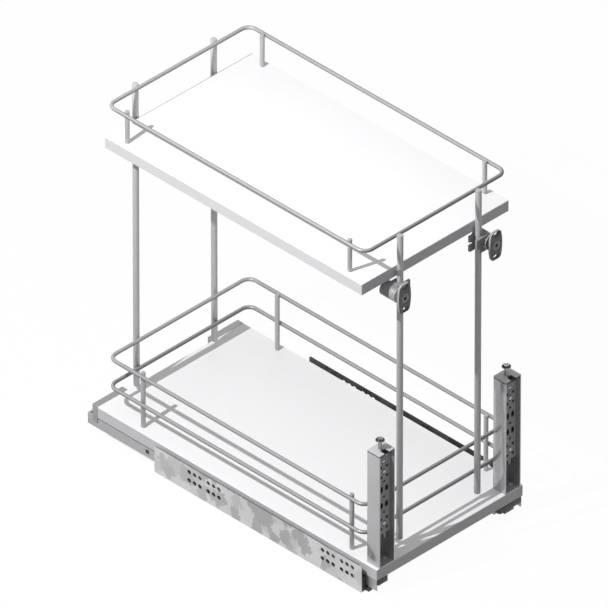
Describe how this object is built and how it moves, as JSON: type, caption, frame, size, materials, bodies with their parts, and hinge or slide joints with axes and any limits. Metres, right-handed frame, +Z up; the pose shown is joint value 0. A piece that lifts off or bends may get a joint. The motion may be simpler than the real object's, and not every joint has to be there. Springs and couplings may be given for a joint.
{
  "type": "pull-out cabinet organiser",
  "caption": "Tall two-shelf pull-out organiser with wire galleries, door-fixing columns and clips, on concealed full-extension undermount runners.",
  "frame": {"origin": "under the middle of the whole object, at the height of the fixed rails' feet", "axes": "+X to the right as seen from the door side, +Y from the door to the back, +Z up"},
  "size_m": [0.262, 0.488, 0.4847],
  "materials": {
    "galvanised_steel": "galvanised with a large spangle",
    "runner_steel": "rolled and zinc plated, satin",
    "melamine": "white melamine-faced board, fine matt",
    "chromed_wire": "satin chrome on round steel",
    "column_steel": "folded sheet, silver coated",
    "dark_zinc": "die-cast zinc, dark coated, satin",
    "clip_nylon": "moulded, dark grey, matt",
    "sleeve_metal": "turned and ribbed, satin",
    "bright_screw": "bright nickel plated",
    "screw_steel": "zinc plated",
    "black_nylon": "moulded, black, matt",
    "lever_plastic": "moulded, mid grey, matt",
    "roller_plastic": "acetal rollers in a moulded strip"
  },
  "bodies": {
    "cabinet_rails": {"cabinet_rail_left": "galvanised_steel", "cabinet_rail_right": "galvanised_steel", "rail_guide_left": "black_nylon", "rail_guide_right": "black_nylon"},
    "middle_rails": {"middle_rail_left": "runner_steel", "middle_rail_right": "runner_steel"},
    "lower_cages": {"lower_roller_cage_left": "roller_plastic", "lower_roller_cage_right": "roller_plastic"},
    "upper_cages": {"upper_roller_cage_left": "roller_plastic", "upper_roller_cage_right": "roller_plastic"},
    "door_plate_left": {"door_plate_left": "dark_zinc"},
    "height_screw_left": {"height_screw_left": "bright_screw"},
    "clip_left": {"clip_body_left": "clip_nylon", "clip_sleeve_left": "sleeve_metal"},
    "clip_face_left": {"clip_face_left": "dark_zinc"},
    "clip_screw_left": {"clip_screw_left": "dark_zinc"},
    "lock_lever_left": {"lock_lever_left": "lever_plastic"},
    "door_plate_right": {"door_plate_right": "dark_zinc"},
    "height_screw_right": {"height_screw_right": "bright_screw"},
    "clip_right": {"clip_body_right": "clip_nylon", "clip_sleeve_right": "sleeve_metal"},
    "clip_face_right": {"clip_face_right": "dark_zinc"},
    "clip_screw_right": {"clip_screw_right": "dark_zinc"},
    "lock_lever_right": {"lock_lever_right": "lever_plastic"},
    "pull_out": {"bracket_screws": "screw_steel", "column_screws": "screw_steel", "door_column_left": "column_steel", "door_column_right": "column_steel", "drawer_rail_left": "runner_steel", "drawer_rail_right": "runner_steel", "front_lock_left": "black_nylon", "front_lock_right": "black_nylon", "lock_screws": "screw_steel", "lower_gallery_bottom_wire": "chromed_wire", "lower_gallery_top_wire": "chromed_wire", "lower_post_front_left": "chromed_wire", "lower_post_front_right": "chromed_wire", "lower_post_rear_left": "chromed_wire", "lower_post_rear_right": "chromed_wire", "lower_post_screws": "screw_steel", "lower_shelf": "melamine", "plate_studs": "bright_screw", "rear_bracket_left": "runner_steel", "rear_bracket_right": "runner_steel", "rod_front_left": "chromed_wire", "rod_front_right": "chromed_wire", "rod_rear_left": "chromed_wire", "rod_rear_right": "chromed_wire", "upper_gallery_wire": "chromed_wire", "upper_post_front_left": "chromed_wire", "upper_post_front_right": "chromed_wire", "upper_post_rear_left": "chromed_wire", "upper_post_rear_right": "chromed_wire", "upper_post_screws": "screw_steel", "upper_shelf": "melamine"}
  },
  "joints": [
    {"name": "pull_out_slide", "type": "slide", "parent": "cabinet_rails", "child": "pull_out", "axis": [0, -1, 0], "range_m": [0, 0.35]},
    {"name": "middle_rails_slide", "type": "slide", "parent": "cabinet_rails", "child": "middle_rails", "axis": [0, -1, 0], "range_m": [0, 0.175]},
    {"name": "lower_cages_slide", "type": "slide", "parent": "cabinet_rails", "child": "lower_cages", "axis": [0, -1, 0], "range_m": [0, 0.0875]},
    {"name": "upper_cages_slide", "type": "slide", "parent": "cabinet_rails", "child": "upper_cages", "axis": [0, -1, 0], "range_m": [0, 0.2625]},
    {"name": "height_screw_left_turn", "type": "hinge", "parent": "pull_out", "child": "height_screw_left", "pos_m": [-0.106, -0.232, 0.201], "axis": [0, 0, 1], "range_deg": [-900, 900]},
    {"name": "door_plate_left_lift", "type": "slide", "parent": "pull_out", "child": "door_plate_left", "axis": [0, 0, 1], "range_m": [-0.002, 0.002]},
    {"name": "clip_left_slide", "type": "slide", "parent": "pull_out", "child": "clip_left", "axis": [0, 0, 1], "range_m": [-0.25, 0.003]},
    {"name": "clip_face_left_reach", "type": "slide", "parent": "clip_left", "child": "clip_face_left", "axis": [0, -1, 0], "range_m": [0, 0.003]},
    {"name": "clip_screw_left_turn", "type": "hinge", "parent": "clip_face_left", "child": "clip_screw_left", "pos_m": [-0.0764, -0.244, 0.4085], "axis": [0, -1, 0], "range_deg": [0, 1080]},
    {"name": "lock_lever_left_squeeze", "type": "hinge", "parent": "pull_out", "child": "lock_lever_left", "pos_m": [-0.0904, -0.204, 0.012], "axis": [0, 0, 1], "range_deg": [0, 8], "stiffness_Nm_per_rad": 0.05},
    {"name": "height_screw_right_turn", "type": "hinge", "parent": "pull_out", "child": "height_screw_right", "pos_m": [0.106, -0.232, 0.201], "axis": [0, 0, 1], "range_deg": [-900, 900]},
    {"name": "door_plate_right_lift", "type": "slide", "parent": "pull_out", "child": "door_plate_right", "axis": [0, 0, 1], "range_m": [-0.002, 0.002]},
    {"name": "clip_right_slide", "type": "slide", "parent": "pull_out", "child": "clip_right", "axis": [0, 0, 1], "range_m": [-0.25, 0.003]},
    {"name": "clip_face_right_reach", "type": "slide", "parent": "clip_right", "child": "clip_face_right", "axis": [0, -1, 0], "range_m": [0, 0.003]},
    {"name": "clip_screw_right_turn", "type": "hinge", "parent": "clip_face_right", "child": "clip_screw_right", "pos_m": [0.0764, -0.244, 0.4085], "axis": [0, -1, 0], "range_deg": [0, 1080]},
    {"name": "lock_lever_right_squeeze", "type": "hinge", "parent": "pull_out", "child": "lock_lever_right", "pos_m": [0.0904, -0.204, 0.012], "axis": [0, 0, -1], "range_deg": [0, 8], "stiffness_Nm_per_rad": 0.05}
  ],
  "couplings": [
    {"joint": "middle_rails_slide", "follows": "pull_out_slide", "ratio": 0.5},
    {"joint": "lower_cages_slide", "follows": "pull_out_slide", "ratio": 0.25},
    {"joint": "upper_cages_slide", "follows": "pull_out_slide", "ratio": 0.75},
    {"joint": "height_screw_left_turn", "follows": "door_plate_left_lift", "rad_per_m": -7853.9},
    {"joint": "clip_screw_left_turn", "follows": "clip_face_left_reach", "rad_per_m": 6283.1},
    {"joint": "height_screw_right_turn", "follows": "door_plate_right_lift", "rad_per_m": -7853.9},
    {"joint": "clip_screw_right_turn", "follows": "clip_face_right_reach", "rad_per_m": 6283.1}
  ]
}
